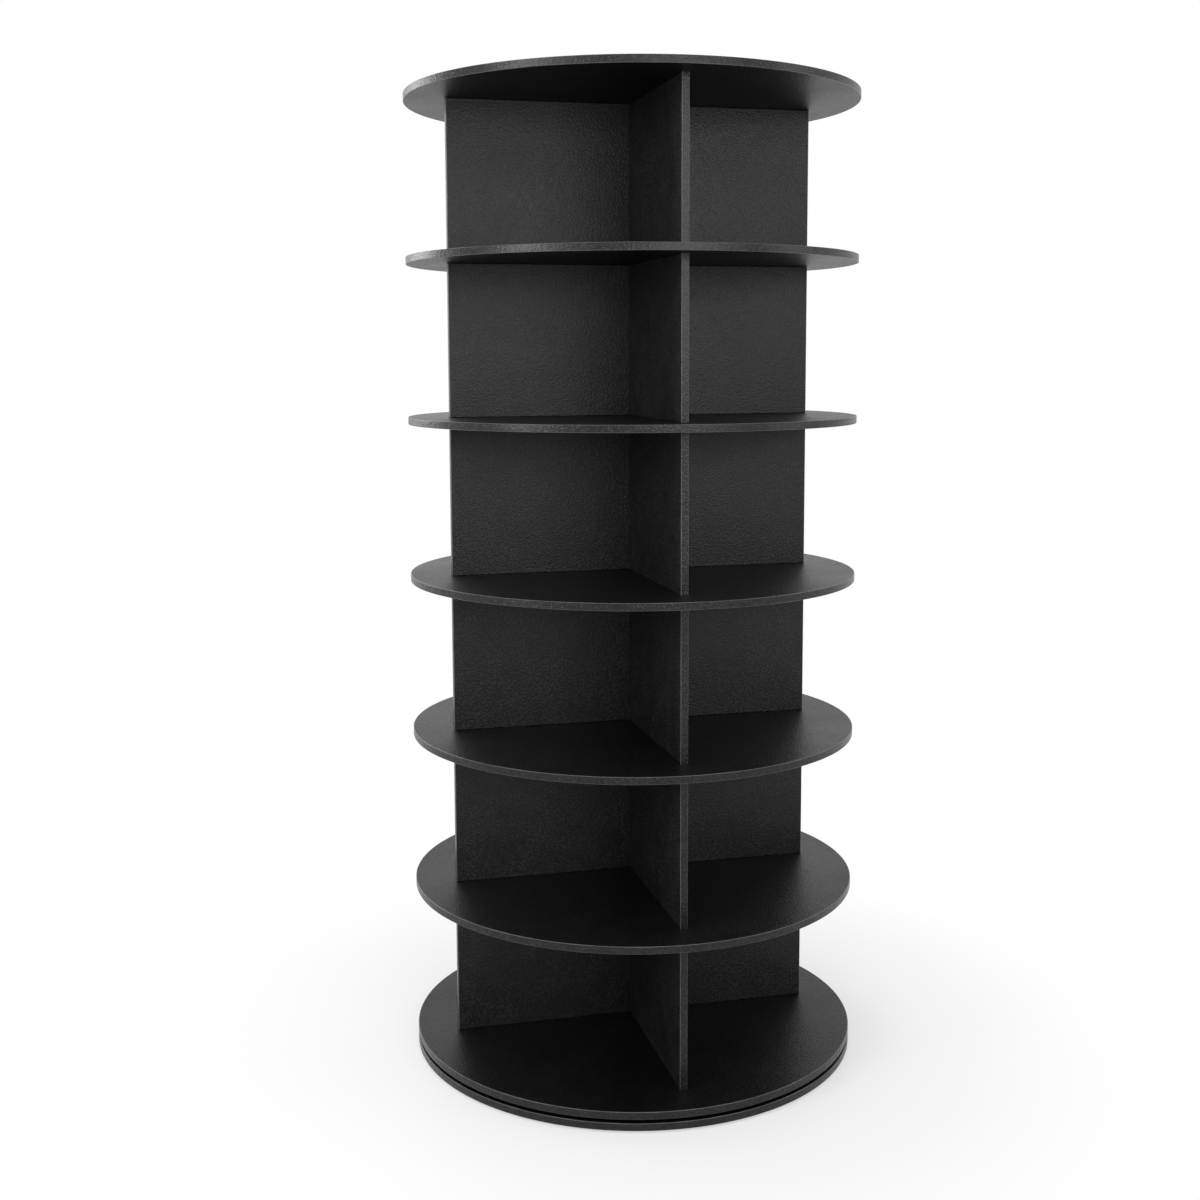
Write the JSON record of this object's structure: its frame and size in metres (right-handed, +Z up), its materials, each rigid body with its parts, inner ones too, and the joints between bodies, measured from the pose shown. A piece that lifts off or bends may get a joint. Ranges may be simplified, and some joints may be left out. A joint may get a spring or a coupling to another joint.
{
  "type": "rotating shoe tower",
  "caption": "Round shelves with crossed dividers between them, stacked as a tower that spins on a ball-bearing turntable above a round base, for shoes and small bags.",
  "frame": {"origin": "on the spin axis at floor level, under the middle of the base", "axes": "+Z up along the spin axis, -Y along the front divider, X along the full-width panels"},
  "size_m": [0.6, 0.6, 1.2841],
  "materials": {
    "board": "black melamine on particle board, fine pebbled grain, satin",
    "edging": "black PVC edging strip, fine mottled grain, semi-matte",
    "pad_rubber": "matt black rubber",
    "bearing_aluminium": "turned aluminium, clear anodised",
    "cage_plastic": "natural nylon strip with polished steel balls",
    "zinc_steel": "bright zinc plate",
    "black_steel": "black oxide steel",
    "dowel_wood": "plain beech"
  },
  "bodies": {
    "base": {"base_disc": "board", "base_edge_band": "edging", "foot_pad_1": "pad_rubber", "foot_pad_2": "pad_rubber", "foot_pad_3": "pad_rubber", "foot_pad_4": "pad_rubber", "foot_pad_5": "pad_rubber", "bearing_inner_ring": "bearing_aluminium", "inner_ring_screw_1": "zinc_steel", "inner_ring_screw_2": "zinc_steel", "inner_ring_screw_3": "zinc_steel", "inner_ring_screw_4": "zinc_steel"},
    "ball_cage": {"ball_cage": "cage_plastic"},
    "tower": {"bearing_outer_ring": "bearing_aluminium", "outer_ring_screw_1": "zinc_steel", "outer_ring_screw_2": "zinc_steel", "outer_ring_screw_3": "zinc_steel", "outer_ring_screw_4": "zinc_steel", "turntable_disc": "board", "turntable_edge_band": "edging", "turntable_centre_dowel": "dowel_wood", "shelf_1_disc": "board", "shelf_1_edge_band": "edging", "shelf_1_centre_dowel": "dowel_wood", "shelf_2_disc": "board", "shelf_2_edge_band": "edging", "shelf_2_centre_dowel": "dowel_wood", "shelf_3_disc": "board", "shelf_3_edge_band": "edging", "shelf_3_centre_dowel": "dowel_wood", "shelf_4_disc": "board", "shelf_4_edge_band": "edging", "shelf_4_centre_dowel": "dowel_wood", "shelf_5_disc": "board", "shelf_5_edge_band": "edging", "shelf_5_centre_dowel": "dowel_wood", "top_disc": "board", "top_edge_band": "edging", "top_screw_1": "black_steel", "top_screw_2": "black_steel", "top_screw_3": "black_steel", "top_screw_4": "black_steel", "tier_1_full_panel": "board", "tier_1_front_panel": "board", "tier_1_rear_panel": "board", "tier_2_full_panel": "board", "tier_2_front_panel": "board", "tier_2_rear_panel": "board", "tier_3_full_panel": "board", "tier_3_front_panel": "board", "tier_3_rear_panel": "board", "tier_4_full_panel": "board", "tier_4_front_panel": "board", "tier_4_rear_panel": "board", "tier_5_full_panel": "board", "tier_5_front_panel": "board", "tier_5_rear_panel": "board", "tier_6_full_panel": "board", "tier_6_front_panel": "board", "tier_6_rear_panel": "board"}
  },
  "joints": [
    {"name": "tower_spin", "type": "hinge", "parent": "base", "child": "tower", "pos_m": [0, 0, 0.0131], "axis": [0, 0, 1], "continuous": true},
    {"name": "cage_spin", "type": "hinge", "parent": "base", "child": "ball_cage", "pos_m": [0, 0, 0.0131], "axis": [0, 0, 1], "continuous": true}
  ],
  "couplings": [
    {"joint": "cage_spin", "follows": "tower_spin", "ratio": 0.5086}
  ]
}
